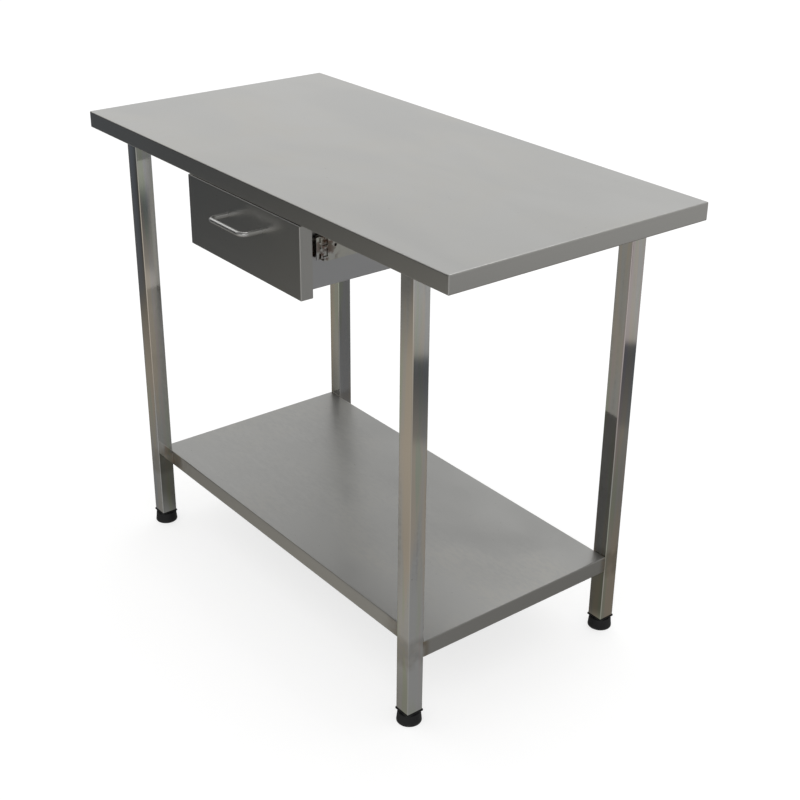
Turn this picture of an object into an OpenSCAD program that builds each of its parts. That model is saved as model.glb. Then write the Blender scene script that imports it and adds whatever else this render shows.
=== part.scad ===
// Stainless steel work table: folded worktop on four square legs, undershelf, one drawer on
// full-extension ball slides, screw-in levelling feet. Millimetres, +Z up, front towards -Y.
// Origin on the floor at the middle of the overall footprint, handle included.

/* [Worktop] */
// length of the worktop, left to right
top_length = 1000; // [900:10:1400]
// depth of the worktop, front to back
top_depth = 500; // [490:5:650]
// height of the working surface above the floor
table_height = 804; // [780:2:880]
// height of the folded apron round the worktop
apron_height = 29; // [27:0.5:34]
// thickness of the worktop and undershelf sheet
sheet = 1.2; // [1:0.1:1.4]
// width of the folded lip under the aprons
lip_width = 12; // [9:1:13]
// outside radius of the folded edges
bend_radius = 2; // [1.6:0.1:2.4]

/* [Legs] */
// outside width of the square leg tube
leg_size = 30; // [30:1:34]
// wall thickness of the leg tube
leg_wall = 1.2; // [1:0.1:1.5]
// outside corner radius of the leg tube
leg_radius = 1.6; // [1.6:0.1:2.4]
// distance from the worktop's end to the leg
leg_end_inset = 96; // [90:1:120]
// distance from the worktop's long edge to the leg
leg_side_inset = 20; // [19:1:22]

/* [Undershelf] */
// height of the shelf surface above the floor
shelf_height = 153.5; // [120:0.5:220]
// height of the shelf's folded flange
shelf_flange = 30; // [26:0.5:36]

/* [Levelling feet] */
// height from the floor to the lower end of the leg tube
foot_height = 23; // [22:0.5:26]
// diameter of the foot base at the floor
foot_diameter = 41.4; // [40:0.2:44]
// radius of the threaded stud
stud_radius = 5; // [4:0.5:6]

/* [Drawer] */
// width of the drawer front
front_width = 320; // [300:5:360]
// height of the drawer front
front_height = 118.5; // [112:0.5:124]
// gap between the apron and the drawer front
front_gap = 1.5; // [1:0.25:3]
// depth of the drawer front's side returns
return_depth = 22; // [20:0.5:24]
// length of the drawer box
box_length = 430; // [424:1:434]
// height of the drawer box
box_height = 93; // [86:1:95]
// thickness of the drawer box sheet
box_sheet = 1; // [0.8:0.1:1.2]

/* [Handle] */
// distance between the two handle screws
handle_span = 96; // [80:4:128]
// distance the handle stands out from the front
handle_reach = 38; // [32:1:42]
// diameter of the handle bar
handle_bar = 8; // [7:0.5:9]
// sideways offset of the handle from the drawer's centre
handle_offset = 7; // [0:1:12]

/* [Slides] */
// length of each drawer slide
slide_length = 400; // [396:1:400]
// distance from the front plane to the slide's front end
slide_setback = 29.5; // [27:0.5:32]

/* [Hidden] */
$fn = 48;

mid_y = handle_reach / 2;
front_y = mid_y - top_depth / 2;
back_y = mid_y + top_depth / 2;
apron_z = table_height - apron_height;
leg_x = top_length / 2 - leg_end_inset - leg_size / 2;
leg_y = top_depth / 2 - leg_side_inset - leg_size / 2;
steel = [0.72, 0.72, 0.71];
galvanised = [0.66, 0.68, 0.7];
zinc = [0.78, 0.77, 0.74];
black = [0.07, 0.07, 0.07];
weld_grey = [0.6, 0.57, 0.52];

// pressed reinforcing channels
channel_height = 20;
channel_sheet = 1.2;
channel_width = 36;
channel_flange = 9;
channel_z = table_height - sheet - channel_height;
long_length = top_length - 20;
cross_gap = 0.5;
cross_length = 2 * (leg_y - channel_width / 2 - channel_flange - cross_gap);
shelf_channel_width = 70;
shelf_channel_height = 18;
shelf_channel_gap = 8;

// leg fixing plates and bolts
plate_thick = 3;
plate_length = 90;
plate_width = 36;
bolt_offset = 34;
bolt_radius = 3;
bolt_clearance = 0.2;
bolt_head_radius = 5.5;
bolt_head = 3.6;
bolt_tip = 14;
nut_height = 5;
leg_top = channel_z - plate_thick;

// undershelf
shelf_length = 2 * leg_x + leg_size;
shelf_depth = 2 * leg_y - leg_size;
weld_leg = 3.2;
weld_short = 3;

// levelling feet
fit_gap = 0.05;
collar_thick = 2.5;
collar_over = 1.1;
collar_radius = 1.2;
plug_length = 25;
plug_slack = 0.1;
plug_groove = 0.8;
plug_ribs = 4;
foot_gap = 0.5;
foot_top_shrink = 1.7;
foot_chamfer = 1.5;
stud_head_radius = 9;
stud_head_top = 9;
stud_head_low = 5;
stud_top = 62;
socket_gap = 0.3;

// drawer
front_top = apron_z - front_gap;
front_low = front_top - front_height;
box_low = front_low + 8;
slide_thick = 12.7;
box_half = front_width / 2 - slide_thick;
box_front_y = front_y + box_sheet;
box_lip = 7;
front_lip = 0;
rivet_radius = 1.6;
handle_z = front_top - 36.5;
handle_bend = 11;
screw_radius = 2;
screw_head_radius = 4;
screw_head = 2.4;
tapped_depth = 12;

// slides: measures across the slide run outwards from the box side (0) to the hanger (12.7)
slide_z = apron_z - 43;
slide_y = front_y + slide_setback;
member_sheet = 1.2;
cabinet_half = 22.5;
cabinet_lip = 3;
middle_half = 18.2;
middle_sheet = 1;
middle_web = 9.3;
middle_lip = 4;
middle_short = 15;
inner_half = 13.9;
inner_reach = 8;
ball_radius = 1.5;
ball_gap = 0.05;
outer_ball_z = cabinet_half - member_sheet - ball_gap - ball_radius;
outer_ball_x = 7.2;
inner_ball_z = middle_half - member_sheet - ball_gap - ball_radius;
inner_ball_x = 5.6;
cage_strip = 0.8;
cage_web = 0.5;
outer_cage_web = 10.65;
outer_cage_lip = 5;
inner_cage_web = 8.35;
inner_cage_lip = 3.4;
cage_length = 95;
cage_start = 105;
ball_count = 6;
ball_pitch = 15;
ball_first = 10;
slot_y = 6.5;
slot_z = 12.5;
hole_first = 35;
hole_pitch = 96;
hole_count = 4;
hole_radius = 2.3;
window_y = 16;
window_z = 9;
tongue_length = 14;
tongue_half = 17.6;
lever_y = hole_first + 1.5 * hole_pitch;
lever_half = 26;
strap_thick = 1.5;
strap_width = 30;
strap_first = 95;
strap_pitch = 200;
strap_flange = 28;
strap_low = slide_z - 20;
hanger_x = front_width / 2 + strap_thick + 16;

// ---------- shared shapes ----------

module soft_profile(w, h, r) {
    translate([-w / 2, 0])
        square([w, h - r]);
    translate([-w / 2 + r, 0])
        square([w - 2 * r, h]);
    for (side = [-1, 1])
        translate([side * (w / 2 - r), h - r])
            circle(r);
}

module soft_block(l, d, h, r) {
    intersection() {
        rotate([90, 0, 0])
            linear_extrude(d + 2, center = true)
                soft_profile(l, h, r);
        rotate([90, 0, 90])
            linear_extrude(l + 2, center = true)
                soft_profile(d, h, r);
    }
}

// folded pan: closed face on top at z = h, open below, with an inward lip when lip > 0
module folded_pan(l, d, h, t, r, lip) {
    floor_t = lip > 0 ? t : -1;
    difference() {
        soft_block(l, d, h, r);
        translate([0, 0, floor_t])
            soft_block(l - 2 * t, d - 2 * t, h - t - floor_t, r - t);
        if (lip > 0)
            translate([0, 0, t / 2])
                cube([l - 2 * lip, d - 2 * lip, 2 * t], center = true);
    }
}

module round_square(w, r) {
    square([w - 2 * r, w], center = true);
    square([w, w - 2 * r], center = true);
    for (sx = [-1, 1], sy = [-1, 1])
        translate([sx * (w / 2 - r), sy * (w / 2 - r)])
            circle(r);
}

// hat section, lips up against the sheet above, flat face below at z = 0
module hat_profile(w, h, flange, t) {
    translate([-w / 2, 0])
        square([w, t]);
    for (side = [-1, 1]) {
        translate([side * (w / 2 - t / 2) - t / 2, 0])
            square([t, h]);
        translate([side * (w / 2 + flange / 2 - t / 2) - (flange + t) / 2, h - t])
            square([flange + t, t]);
    }
}

module hat_along_x(length, w, h, flange, t) {
    rotate([90, 0, 90])
        linear_extrude(length, center = true)
            hat_profile(w, h, flange, t);
}

module hat_along_y(length, w, h, flange, t) {
    rotate([90, 0, 0])
        linear_extrude(length, center = true)
            hat_profile(w, h, flange, t);
}

module at_leg(sx, sy) {
    translate([sx * leg_x, mid_y + sy * leg_y, 0])
        children();
}

module at_bolts() {
    for (side = [-1, 1])
        translate([side * bolt_offset, 0, 0])
            children();
}

// places a right-hand slide shape on the given side of the drawer
module at_slide(side) {
    mirror([side < 0 ? 1 : 0, 0, 0])
        translate([box_half, slide_y, slide_z])
            children();
}

// bar along +Y with its section drawn outwards (x) and up (z)
module slide_bar(length, start = 0) {
    translate([0, start + length, 0])
        rotate([90, 0, 0])
            linear_extrude(length)
                children();
}

// hole or pin through the slide along X
module across(x0, x1, r) {
    translate([x0, 0, 0])
        rotate([0, 90, 0])
            cylinder(h = x1 - x0, r = r);
}

// ---------- worktop ----------

module worktop() {
    color(steel)
        translate([0, mid_y, apron_z])
            folded_pan(top_length, top_depth, apron_height, sheet, bend_radius, lip_width);
}

module long_channel(sy) {
    color(galvanised)
        difference() {
            translate([0, mid_y + sy * leg_y, channel_z])
                hat_along_x(long_length, channel_width, channel_height, channel_flange, channel_sheet);
            for (sx = [-1, 1])
                at_leg(sx, sy)
                    at_bolts()
                        translate([0, 0, channel_z - 1])
                            cylinder(h = channel_sheet + 2, r = bolt_radius + bolt_clearance);
        }
}

module long_channel_front() { long_channel(-1); }
module long_channel_back() { long_channel(1); }

module cross_channel(x) {
    color(galvanised)
        translate([x, mid_y, channel_z])
            hat_along_y(cross_length, channel_width, channel_height, channel_flange, channel_sheet);
}

module cross_channel_left() { cross_channel(-leg_x); }
module cross_channel_right() { cross_channel(leg_x); }
module hanger_channel_left() { cross_channel(-hanger_x); }
module hanger_channel_right() { cross_channel(hanger_x); }

// ---------- legs ----------

module leg(sx, sy) {
    color(steel)
        at_leg(sx, sy)
            translate([0, 0, foot_height])
                linear_extrude(leg_top - foot_height)
                    difference() {
                        round_square(leg_size, leg_radius);
                        round_square(leg_size - 2 * leg_wall, leg_radius - leg_wall);
                    }
}

module leg_front_left() { leg(-1, -1); }
module leg_front_right() { leg(1, -1); }
module leg_back_left() { leg(-1, 1); }
module leg_back_right() { leg(1, 1); }

module leg_plate(sx, sy) {
    color(galvanised)
        at_leg(sx, sy)
            difference() {
                translate([0, 0, leg_top + plate_thick / 2])
                    cube([plate_length, plate_width, plate_thick], center = true);
                at_bolts()
                    translate([0, 0, leg_top - 1])
                        cylinder(h = plate_thick + 2, r = bolt_radius + bolt_clearance);
            }
}

module leg_plate_front_left() { leg_plate(-1, -1); }
module leg_plate_front_right() { leg_plate(1, -1); }
module leg_plate_back_left() { leg_plate(-1, 1); }
module leg_plate_back_right() { leg_plate(1, 1); }

module leg_plate_bolt() {
    translate([0, 0, leg_top - bolt_head])
        cylinder(h = bolt_head, r = bolt_head_radius, $fn = 6);
    translate([0, 0, leg_top - bolt_head / 2])
        cylinder(h = bolt_tip + bolt_head / 2, r = bolt_radius);
    translate([0, 0, channel_z + channel_sheet])
        cylinder(h = nut_height, r = bolt_head_radius, $fn = 6);
}

module leg_plate_bolts() {
    color(zinc)
        for (sx = [-1, 1], sy = [-1, 1])
            at_leg(sx, sy)
                at_bolts()
                    leg_plate_bolt();
}

// ---------- undershelf ----------

module undershelf() {
    color(steel)
        translate([0, mid_y, shelf_height - shelf_flange])
            folded_pan(shelf_length, shelf_depth, shelf_flange, sheet, bend_radius, lip_width);
}

module undershelf_channel() {
    color(galvanised)
        translate([0, mid_y, shelf_height - sheet - shelf_channel_height])
            hat_along_x(shelf_length - 2 * shelf_channel_gap, shelf_channel_width,
                shelf_channel_height, channel_flange, channel_sheet);
}

module undershelf_welds() {
    color(weld_grey)
        for (sx = [-1, 1], sy = [-1, 1])
            translate([sx * (leg_x - leg_size / 2), mid_y + sy * (leg_y - leg_size / 2), 0])
                mirror([sx < 0 ? 1 : 0, 0, 0])
                    mirror([0, sy < 0 ? 1 : 0, 0])
                        difference() {
                            translate([0, 0, shelf_height - shelf_flange + weld_short])
                                linear_extrude(shelf_flange - 2 * weld_short)
                                    polygon([[-weld_leg, 0], [leg_radius, 0], [0, weld_leg]]);
                            translate([leg_size / 2, leg_size / 2, 0])
                                linear_extrude(table_height)
                                    round_square(leg_size, leg_radius);
                        }
}

// ---------- levelling feet ----------

module foot_insert(sx, sy) {
    plug_w = leg_size - 2 * leg_wall - 2 * plug_slack;
    plug_r = leg_radius - leg_wall;
    rib_step = plug_length / plug_ribs;
    color(black)
        at_leg(sx, sy)
            difference() {
                union() {
                    translate([0, 0, foot_height - collar_thick])
                        linear_extrude(collar_thick)
                            round_square(leg_size + 2 * collar_over, collar_radius);
                    translate([0, 0, foot_height - 0.5])
                        linear_extrude(plug_length + 0.5)
                            round_square(plug_w - 2 * plug_groove, plug_r);
                    for (i = [0:plug_ribs - 1])
                        translate([0, 0, foot_height + i * rib_step])
                            linear_extrude(rib_step / 2)
                                round_square(plug_w, plug_r);
                }
                translate([0, 0, foot_height - collar_thick - 1])
                    cylinder(h = plug_length + collar_thick + 2, r = stud_radius + fit_gap);
            }
}

module foot_insert_front_left() { foot_insert(-1, -1); }
module foot_insert_front_right() { foot_insert(1, -1); }
module foot_insert_back_left() { foot_insert(-1, 1); }
module foot_insert_back_right() { foot_insert(1, 1); }

module foot_stud(sx, sy) {
    color(zinc)
        at_leg(sx, sy) {
            translate([0, 0, stud_head_low])
                cylinder(h = stud_head_top - stud_head_low, r = stud_head_radius);
            translate([0, 0, stud_head_low + 1])
                cylinder(h = stud_top - stud_head_low - 2, r = stud_radius);
            translate([0, 0, stud_top - 1])
                cylinder(h = 1, r1 = stud_radius, r2 = stud_radius - 1);
        }
}

module foot_stud_front_left() { foot_stud(-1, -1); }
module foot_stud_front_right() { foot_stud(1, -1); }
module foot_stud_back_left() { foot_stud(-1, 1); }
module foot_stud_back_right() { foot_stud(1, 1); }

module foot_base(sx, sy) {
    r = foot_diameter / 2;
    top = foot_height - collar_thick - foot_gap;
    socket_r = stud_head_radius + socket_gap;
    socket_z = stud_head_top + socket_gap;
    bore_r = stud_radius + fit_gap;
    color(black)
        at_leg(sx, sy)
            rotate_extrude()
                polygon([
                    [socket_r, 0], [r - foot_chamfer, 0], [r, foot_chamfer],
                    [r - foot_top_shrink, top - 1], [r - foot_top_shrink - 1, top],
                    [bore_r, top], [bore_r, socket_z], [socket_r, socket_z]
                ]);
}

module foot_base_front_left() { foot_base(-1, -1); }
module foot_base_front_right() { foot_base(1, -1); }
module foot_base_back_left() { foot_base(-1, 1); }
module foot_base_back_right() { foot_base(1, 1); }

// ---------- drawer ----------

module at_handle_screws() {
    for (side = [-1, 1])
        translate([handle_offset + side * handle_span / 2, front_y, handle_z])
            children();
}

module at_rivets() {
    for (x = [-120, -80, 100, 130], dz = [16, box_height - 16])
        translate([x, front_y, box_low + dz])
            children();
}

// pin along +Y from y0 to y1
module pin_y(y0, y1, r) {
    translate([0, y1, 0])
        rotate([90, 0, 0])
            cylinder(h = y1 - y0, r = r);
}

module drawer_front() {
    color(steel)
        difference() {
            translate([0, front_y + return_depth, front_low + front_height / 2])
                rotate([90, 0, 0])
                    folded_pan(front_width, front_height, return_depth, box_sheet,
                        bend_radius, front_lip);
            at_handle_screws()
                pin_y(-1, box_sheet + 1, screw_radius + bolt_clearance);
        }
}

module drawer_box() {
    color(steel)
        difference() {
            translate([0, box_front_y + box_length / 2, box_low + box_height])
                mirror([0, 0, 1])
                    folded_pan(2 * box_half, box_length, box_height, box_sheet,
                        bend_radius, box_lip);
            at_handle_screws()
                pin_y(0, 2 * box_sheet + 1, screw_radius + bolt_clearance);
            at_rivets()
                pin_y(0, 2 * box_sheet + 1, rivet_radius + fit_gap);
            for (side = [-1, 1], i = [0:hole_count - 1])
                at_slide(side)
                    translate([0, hole_first + i * hole_pitch, 0])
                        across(-box_sheet - 1, 1, screw_radius + fit_gap);
        }
}

module drawer_rivets() {
    color(zinc)
        at_rivets() {
            pin_y(box_sheet, 2 * box_sheet, rivet_radius);
            pin_y(2 * box_sheet, 2 * box_sheet + 0.8, 2 * rivet_radius);
        }
}

module drawer_handle() {
    r = handle_bar / 2;
    half = handle_span / 2;
    leg_len = handle_reach - r - handle_bend;
    color(steel)
        translate([handle_offset, front_y, handle_z])
            difference() {
                union() {
                    for (side = [-1, 1]) {
                        translate([side * half, 0, 0])
                            pin_y(-leg_len - 0.01, 0, r);
                        translate([side * (half - handle_bend), -leg_len, 0])
                            mirror([side > 0 ? 0 : 1, 0, 0])
                                rotate([0, 0, -90])
                                    rotate_extrude(angle = 90)
                                        translate([handle_bend, 0])
                                            circle(r);
                    }
                    translate([-half + handle_bend, -handle_reach + r, 0])
                        across(-0.01, handle_span - 2 * handle_bend + 0.01, r);
                }
                for (side = [-1, 1])
                    translate([side * half, 0, 0])
                        pin_y(-tapped_depth, 1, screw_radius + fit_gap);
            }
}

module handle_screws() {
    head_y = 2 * box_sheet;
    color(zinc)
        at_handle_screws() {
            pin_y(-tapped_depth + 1, head_y + 0.5, screw_radius);
            pin_y(head_y, head_y + screw_head, screw_head_radius);
        }
}

// ---------- slides ----------

// channel section: web of thickness t from x = web, flanges reaching from x0 to x1
module member_profile(half, t, web, web_t, x0, x1) {
    translate([web, -half])
        square([web_t, 2 * half]);
    for (side = [-1, 1])
        translate([x0, side * (half - t / 2) - t / 2])
            square([x1 - x0, t]);
}

module slide_holes(x0, x1) {
    for (i = [0:hole_count - 1])
        translate([0, hole_first + i * hole_pitch, 0])
            across(x0, x1, hole_radius);
}

module cabinet_member(side) {
    web = slide_thick - member_sheet;
    color(zinc)
        at_slide(side)
            difference() {
                slide_bar(slide_length)
                    member_profile(cabinet_half, member_sheet, web, member_sheet,
                        cabinet_lip, slide_thick);
                slide_holes(web - 1, slide_thick + 1);
                for (dz = [-1, 1])
                    translate([slide_thick, slot_y, dz * slot_z])
                        cube([4, 3.5, 8], center = true);
                translate([0, slot_y + 1, 0])
                    across(web - 1, slide_thick + 1, 1.6);
                for (dz = [-1, 1])
                    translate([slide_thick, window_y, dz * window_z])
                        cube([4, 10, 13], center = true);
                for (dz = [-1, 1])
                    translate([0, tongue_length / 2 - 1, dz * (tongue_half + 5)])
                        cube([4 * slide_thick, tongue_length + 2, 10], center = true);
                for (i = [0, 1])
                    translate([0, strap_first + strap_width / 2 + i * strap_pitch, 0])
                        for (dz = [-8, 8])
                            translate([0, 0, dz])
                                across(web - 1, slide_thick + 1, screw_radius + bolt_clearance);
            }
}

module cabinet_member_left() { cabinet_member(-1); }
module cabinet_member_right() { cabinet_member(1); }

module middle_member(side) {
    color(zinc)
        at_slide(side)
            difference() {
                slide_bar(slide_length - middle_short, middle_short / 3)
                    member_profile(middle_half, member_sheet, middle_web, middle_sheet,
                        middle_lip, middle_web + middle_sheet);
                slide_holes(middle_web - 1, middle_web + middle_sheet + 1);
            }
}

module middle_member_left() { middle_member(-1); }
module middle_member_right() { middle_member(1); }

module drawer_member(side) {
    color(zinc)
        at_slide(side)
            difference() {
                slide_bar(slide_length)
                    member_profile(inner_half, member_sheet, 0, member_sheet, 0, inner_reach);
                for (i = [0:hole_count - 1])
                    translate([0, hole_first + i * hole_pitch, 0])
                        across(-1, member_sheet + 1, screw_radius + bolt_clearance);
            }
}

module drawer_member_left() { drawer_member(-1); }
module drawer_member_right() { drawer_member(1); }

module at_balls(z) {
    for (dz = [-1, 1], i = [0:ball_count - 1])
        translate([0, cage_start + ball_first + i * ball_pitch, dz * z])
            children();
}

module cage(side, z, x_ball, web, lip) {
    color(weld_grey)
        at_slide(side)
            difference() {
                slide_bar(cage_length, cage_start)
                    member_profile(z + cage_strip / 2, cage_strip, web, cage_web,
                        lip, web + cage_web);
                at_balls(z)
                    translate([x_ball, 0, 0])
                        cylinder(h = 3, r = ball_radius + ball_gap, center = true);
            }
}

module outer_cage_left() { cage(-1, outer_ball_z, outer_ball_x, outer_cage_web, outer_cage_lip); }
module outer_cage_right() { cage(1, outer_ball_z, outer_ball_x, outer_cage_web, outer_cage_lip); }
module inner_cage_left() { cage(-1, inner_ball_z, inner_ball_x, inner_cage_web, inner_cage_lip); }
module inner_cage_right() { cage(1, inner_ball_z, inner_ball_x, inner_cage_web, inner_cage_lip); }

module balls(side, z, x_ball) {
    color(steel)
        at_slide(side)
            at_balls(z)
                translate([x_ball, 0, 0])
                    sphere(ball_radius);
}

module outer_balls_left() { balls(-1, outer_ball_z, outer_ball_x); }
module outer_balls_right() { balls(1, outer_ball_z, outer_ball_x); }
module inner_balls_left() { balls(-1, inner_ball_z, inner_ball_x); }
module inner_balls_right() { balls(1, inner_ball_z, inner_ball_x); }

// plastic disconnect lever lying in the drawer member's channel
module release_lever(side) {
    color(black)
        at_slide(side)
            translate([0, lever_y, 0]) {
                translate([member_sheet, -lever_half, -4])
                    cube([2.6, 2 * lever_half, 6]);
                translate([0, -lever_half, 0])
                    across(member_sheet, member_sheet + 3.4, 6.5);
                translate([member_sheet, lever_half - 4, -9])
                    cube([4.2, 10, 16]);
            }
}

module release_lever_left() { release_lever(-1); }
module release_lever_right() { release_lever(1); }

// ---------- hangers ----------

module hanger_straps(side) {
    drop = channel_z - strap_low;
    color(galvanised)
        at_slide(side)
            for (i = [0, 1])
                translate([slide_thick, strap_first + i * strap_pitch, strap_low - slide_z])
                    difference() {
                        union() {
                            cube([strap_thick, strap_width, drop]);
                            translate([0, 0, drop - strap_thick])
                                cube([strap_flange, strap_width, strap_thick]);
                        }
                        for (dz = [-8, 8])
                            translate([0, strap_width / 2, slide_z - strap_low + dz])
                                across(-1, strap_thick + 1, screw_radius + bolt_clearance);
                    }
}

module hanger_straps_left() { hanger_straps(-1); }
module hanger_straps_right() { hanger_straps(1); }

module hanger_screws() {
    outer = slide_thick + strap_thick;
    color(zinc)
        for (side = [-1, 1], i = [0, 1], dz = [-8, 8])
            at_slide(side)
                translate([0, strap_first + strap_width / 2 + i * strap_pitch, dz]) {
                    across(slide_thick - member_sheet, outer + 0.5, screw_radius);
                    across(outer, outer + screw_head, screw_head_radius);
                }
}

module slide_screws() {
    color(zinc)
        for (side = [-1, 1], i = [0:hole_count - 1])
            at_slide(side)
                translate([0, hole_first + i * hole_pitch, 0]) {
                    across(-box_sheet - 2, member_sheet + 0.5, screw_radius);
                    across(member_sheet, member_sheet + screw_head, screw_head_radius);
                }
}

// ---------- assembly ----------

worktop();
long_channel_front();
long_channel_back();
cross_channel_left();
cross_channel_right();
hanger_channel_left();
hanger_channel_right();
leg_front_left();
leg_front_right();
leg_back_left();
leg_back_right();
leg_plate_front_left();
leg_plate_front_right();
leg_plate_back_left();
leg_plate_back_right();
leg_plate_bolts();
undershelf();
undershelf_channel();
undershelf_welds();
foot_insert_front_left();
foot_insert_front_right();
foot_insert_back_left();
foot_insert_back_right();
foot_stud_front_left();
foot_stud_front_right();
foot_stud_back_left();
foot_stud_back_right();
foot_base_front_left();
foot_base_front_right();
foot_base_back_left();
foot_base_back_right();
drawer_front();
drawer_box();
drawer_rivets();
drawer_handle();
handle_screws();
cabinet_member_left();
cabinet_member_right();
middle_member_left();
middle_member_right();
drawer_member_left();
drawer_member_right();
outer_cage_left();
outer_cage_right();
inner_cage_left();
inner_cage_right();
outer_balls_left();
outer_balls_right();
inner_balls_left();
inner_balls_right();
release_lever_left();
release_lever_right();
hanger_straps_left();
hanger_straps_right();
hanger_screws();
slide_screws();
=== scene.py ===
"""Stainless work table: materials, detailed pieces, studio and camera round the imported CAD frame."""
import math

import bmesh
import bpy
from mathutils import Matrix, Vector


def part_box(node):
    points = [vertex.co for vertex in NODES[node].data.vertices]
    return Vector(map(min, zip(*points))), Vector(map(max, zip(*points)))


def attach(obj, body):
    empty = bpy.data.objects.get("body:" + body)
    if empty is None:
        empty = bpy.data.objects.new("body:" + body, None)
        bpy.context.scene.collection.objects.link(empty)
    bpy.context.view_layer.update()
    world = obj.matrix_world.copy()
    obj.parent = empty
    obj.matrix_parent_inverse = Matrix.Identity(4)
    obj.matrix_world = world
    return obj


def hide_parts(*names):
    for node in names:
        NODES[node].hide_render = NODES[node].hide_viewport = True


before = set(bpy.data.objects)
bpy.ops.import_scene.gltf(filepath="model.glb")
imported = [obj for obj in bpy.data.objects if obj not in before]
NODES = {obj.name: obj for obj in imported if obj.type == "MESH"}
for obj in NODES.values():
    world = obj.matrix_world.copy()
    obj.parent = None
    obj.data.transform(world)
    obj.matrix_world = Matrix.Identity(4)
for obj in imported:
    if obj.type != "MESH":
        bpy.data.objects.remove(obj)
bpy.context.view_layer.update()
MM = 0.001
CORNERS = ("front_left", "front_right", "back_left", "back_right")

# ---------------------------------------------------------------- camera

CAMERA_AT = Vector((1.7828, -1.3206, 1.4595))
CAMERA_AIM = Vector((0.0947, 0.0110, 0.3931))
CAMERA_ROLL = math.radians(0.6)
CAMERA_LENS = 63.2
SENSOR = 36.0


def make_camera():
    data = bpy.data.cameras.new("studio_camera")
    data.lens, data.sensor_width = CAMERA_LENS, SENSOR
    data.clip_start, data.clip_end = 0.05, 100.0
    cam = bpy.data.objects.new("studio_camera", data)
    bpy.context.scene.collection.objects.link(cam)
    turn = (CAMERA_AIM - CAMERA_AT).to_track_quat("-Z", "Y").to_matrix().to_4x4()
    cam.matrix_world = Matrix.Translation(CAMERA_AT) @ turn @ Matrix.Rotation(CAMERA_ROLL, 4, "Z")
    bpy.context.scene.camera = cam


make_camera()

# ---------------------------------------------------------------- node helpers


class Tree:
    """Short names for the shader nodes used below."""

    def __init__(self, tree):
        self.t = tree
        tree.nodes.clear()

    def add(self, kind, **values):
        node = self.t.nodes.new(kind)
        for key, value in values.items():
            setattr(node, key, value)
        return node

    def join(self, a, b):
        self.t.links.new(a, b)

    def feed(self, value, socket):
        """Link a socket, or set a plain number or colour."""
        if hasattr(value, "default_value"):
            self.join(value, socket)
        elif isinstance(value, tuple):
            socket.default_value = (*value, 1.0)
        else:
            socket.default_value = value

    def coords(self, scale=(1, 1, 1)):
        mapping = self.add("ShaderNodeMapping")
        mapping.inputs["Scale"].default_value = scale
        self.join(self.add("ShaderNodeTexCoord").outputs["Object"], mapping.inputs["Vector"])
        return mapping.outputs["Vector"]

    def noise(self, scale, detail=2.0, rough=0.5, distortion=0.0):
        node = self.add("ShaderNodeTexNoise")
        values = {"Scale": 1.0, "Detail": detail, "Roughness": rough, "Distortion": distortion}
        for key, value in values.items():
            node.inputs[key].default_value = value
        self.join(self.coords(scale), node.inputs["Vector"])
        return node.outputs["Fac"]

    def cells(self, scale):
        node = self.add("ShaderNodeTexVoronoi")
        node.inputs["Scale"].default_value = 1.0
        self.join(self.coords(scale), node.inputs["Vector"])
        return node.outputs["Color"]

    def span(self, value, low, high, to_low=0.0, to_high=1.0):
        """Smooth step from to_low to to_high as the value goes from low to high."""
        node = self.add("ShaderNodeMapRange", interpolation_type="SMOOTHSTEP")
        for key, number in (("From Min", low), ("From Max", high), ("To Min", to_low), ("To Max", to_high)):
            node.inputs[key].default_value = number
        self.join(value, node.inputs["Value"])
        return node.outputs["Result"]

    def math(self, kind, a, b=0.0, c=0.0):
        node = self.add("ShaderNodeMath", operation=kind)
        for slot, value in enumerate((a, b, c)):
            self.feed(value, node.inputs[slot])
        return node.outputs["Value"]

    def times(self, a, b):
        return self.math("MULTIPLY", a, b)

    def away(self, value, middle=0.0):
        """Distance of the value from the middle."""
        return self.math("ABSOLUTE", self.math("SUBTRACT", value, middle) if middle else value)

    def blend(self, factor, a, b, kind="MIX"):
        node = self.add("ShaderNodeMix", data_type="RGBA", blend_type=kind)
        for key, value in ((0, factor), (6, a), (7, b)):
            self.feed(value, node.inputs[key])
        return node.outputs[2]

    def bump(self, height, strength, distance, normal=None):
        node = self.add("ShaderNodeBump")
        node.inputs["Strength"].default_value = strength
        node.inputs["Distance"].default_value = distance
        self.join(height, node.inputs["Height"])
        if normal is not None:
            self.join(normal, node.inputs["Normal"])
        return node.outputs["Normal"]

    def axis(self, name, source="Object"):
        """One component of the object coordinates, or of the surface normal."""
        split = self.add("ShaderNodeSeparateXYZ")
        self.join(self.add("ShaderNodeTexCoord").outputs[source], split.inputs["Vector"])
        return split.outputs[name]

    def band(self, value, low, high, soft):
        """1 between low and high, falling to 0 over the soft distance outside."""
        return self.times(self.span(value, low - soft, low), self.span(value, high, high + soft, 1.0, 0.0))


def shader(name, metallic, specular=0.5):
    mat = bpy.data.materials.new(name)
    mat.use_nodes = True
    tree = Tree(mat.node_tree)
    bsdf = tree.add("ShaderNodeBsdfPrincipled")
    bsdf.inputs["Metallic"].default_value = metallic
    bsdf.inputs["Specular IOR Level"].default_value = specular
    tree.join(bsdf.outputs["BSDF"], tree.add("ShaderNodeOutputMaterial").inputs["Surface"])
    return mat, tree, bsdf


def tint(colour, *scale):
    scale = scale * 3 if len(scale) == 1 else scale
    return tuple(c * k for c, k in zip(colour, scale))


def along_axis(axis, long, short):
    """Noise scale that is small along one axis, so that the grain is drawn out that way."""
    return tuple(long if name == axis else short for name in "XYZ")


# ---------------------------------------------------------------- materials

STEEL = (0.63, 0.63, 0.612)
TUBE_STEEL = (0.68, 0.68, 0.665)
BAR_STEEL = (0.74, 0.74, 0.73)
BALL_STEEL = (0.75, 0.75, 0.75)
HEAT_BROWN, HEAT_GREY = (0.32, 0.27, 0.20), (0.27, 0.25, 0.22)
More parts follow.
